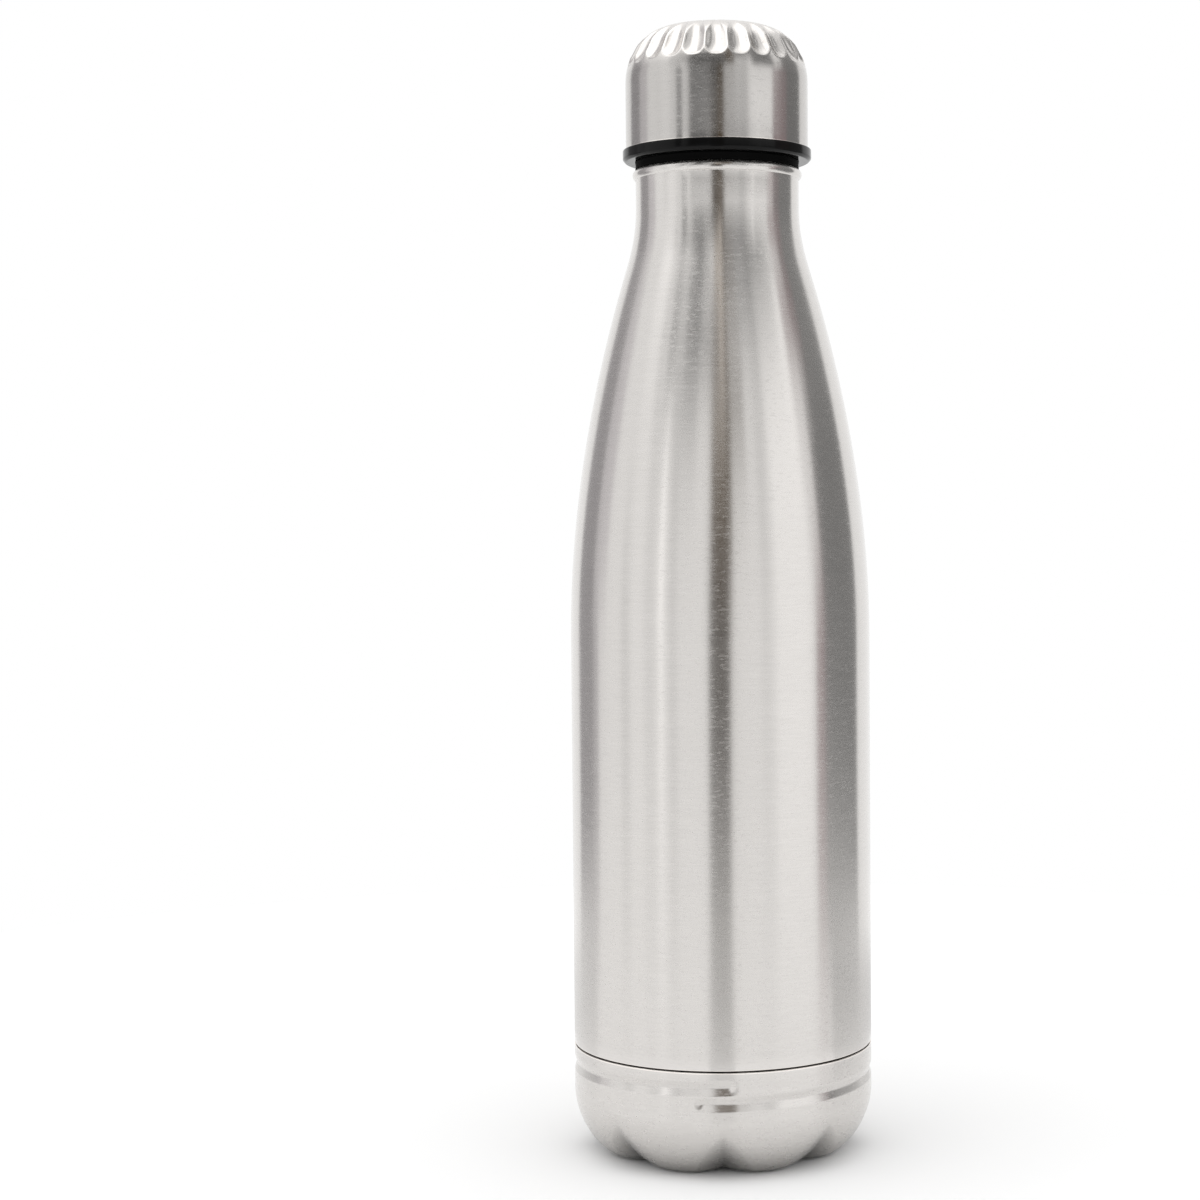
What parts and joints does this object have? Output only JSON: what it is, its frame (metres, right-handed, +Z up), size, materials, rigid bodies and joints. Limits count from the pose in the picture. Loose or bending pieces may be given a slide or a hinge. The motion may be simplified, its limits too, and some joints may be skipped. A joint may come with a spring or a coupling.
{
  "type": "water bottle diversion safe",
  "caption": "Narrow-neck steel bottle with a screw cap and a screw-off lobed base that closes a hidden compartment.",
  "frame": {"origin": "centre of the circle on which the eight feet stand", "axes": "+Z up the bottle's axis to the cap, -Y towards the picture's viewer"},
  "size_m": [0.07, 0.07, 0.262],
  "materials": {
    "brushed_shell": "fine brushing round the bottle",
    "polished_ring": "smooth bright rolled steel",
    "vessel_steel": "electropolished satin",
    "seal_glass": "dark solder glass",
    "getter_metal": "pressed grey powder",
    "black_plastic": "glossy moulded",
    "black_silicone": "matte moulded silicone",
    "foam": "white bead foam"
  },
  "bodies": {
    "bottle": {"body_shell": "brushed_shell", "base_thread_ring": "polished_ring", "compartment_ceiling": "vessel_steel", "glass_seal": "seal_glass", "seal_cover": "polished_ring", "getter_pill": "getter_metal", "getter_clip": "vessel_steel", "inner_vessel": "vessel_steel", "vessel_bottom": "vessel_steel"},
    "cap_seal": {"cap_gasket": "black_silicone"},
    "cap": {"cap_shell": "brushed_shell", "inner_cap": "black_plastic", "threaded_stem": "black_plastic", "stem_foam": "foam", "cap_foam": "foam"},
    "base_seal": {"base_gasket": "black_silicone"},
    "base": {"base_cup": "brushed_shell"}
  },
  "joints": [
    {"name": "cap_lift", "type": "slide", "parent": "bottle", "child": "cap_seal", "axis": [0, 0, 1], "range_m": [0, 0.0252]},
    {"name": "cap_turn", "type": "hinge", "parent": "cap_seal", "child": "cap", "pos_m": [0, 0, 0.228], "axis": [0, 0, 1], "range_deg": [0, 2520]},
    {"name": "base_drop", "type": "slide", "parent": "bottle", "child": "base_seal", "axis": [0, 0, -1], "range_m": [0, 0.0162]},
    {"name": "base_turn", "type": "hinge", "parent": "base_seal", "child": "base", "pos_m": [0, 0, 0.012], "axis": [0, 0, -1], "range_deg": [0, 1620]}
  ],
  "couplings": [
    {"joint": "cap_lift", "follows": "cap_turn", "m_per_rad": 0.00057296},
    {"joint": "base_drop", "follows": "base_turn", "m_per_rad": 0.00057296}
  ]
}
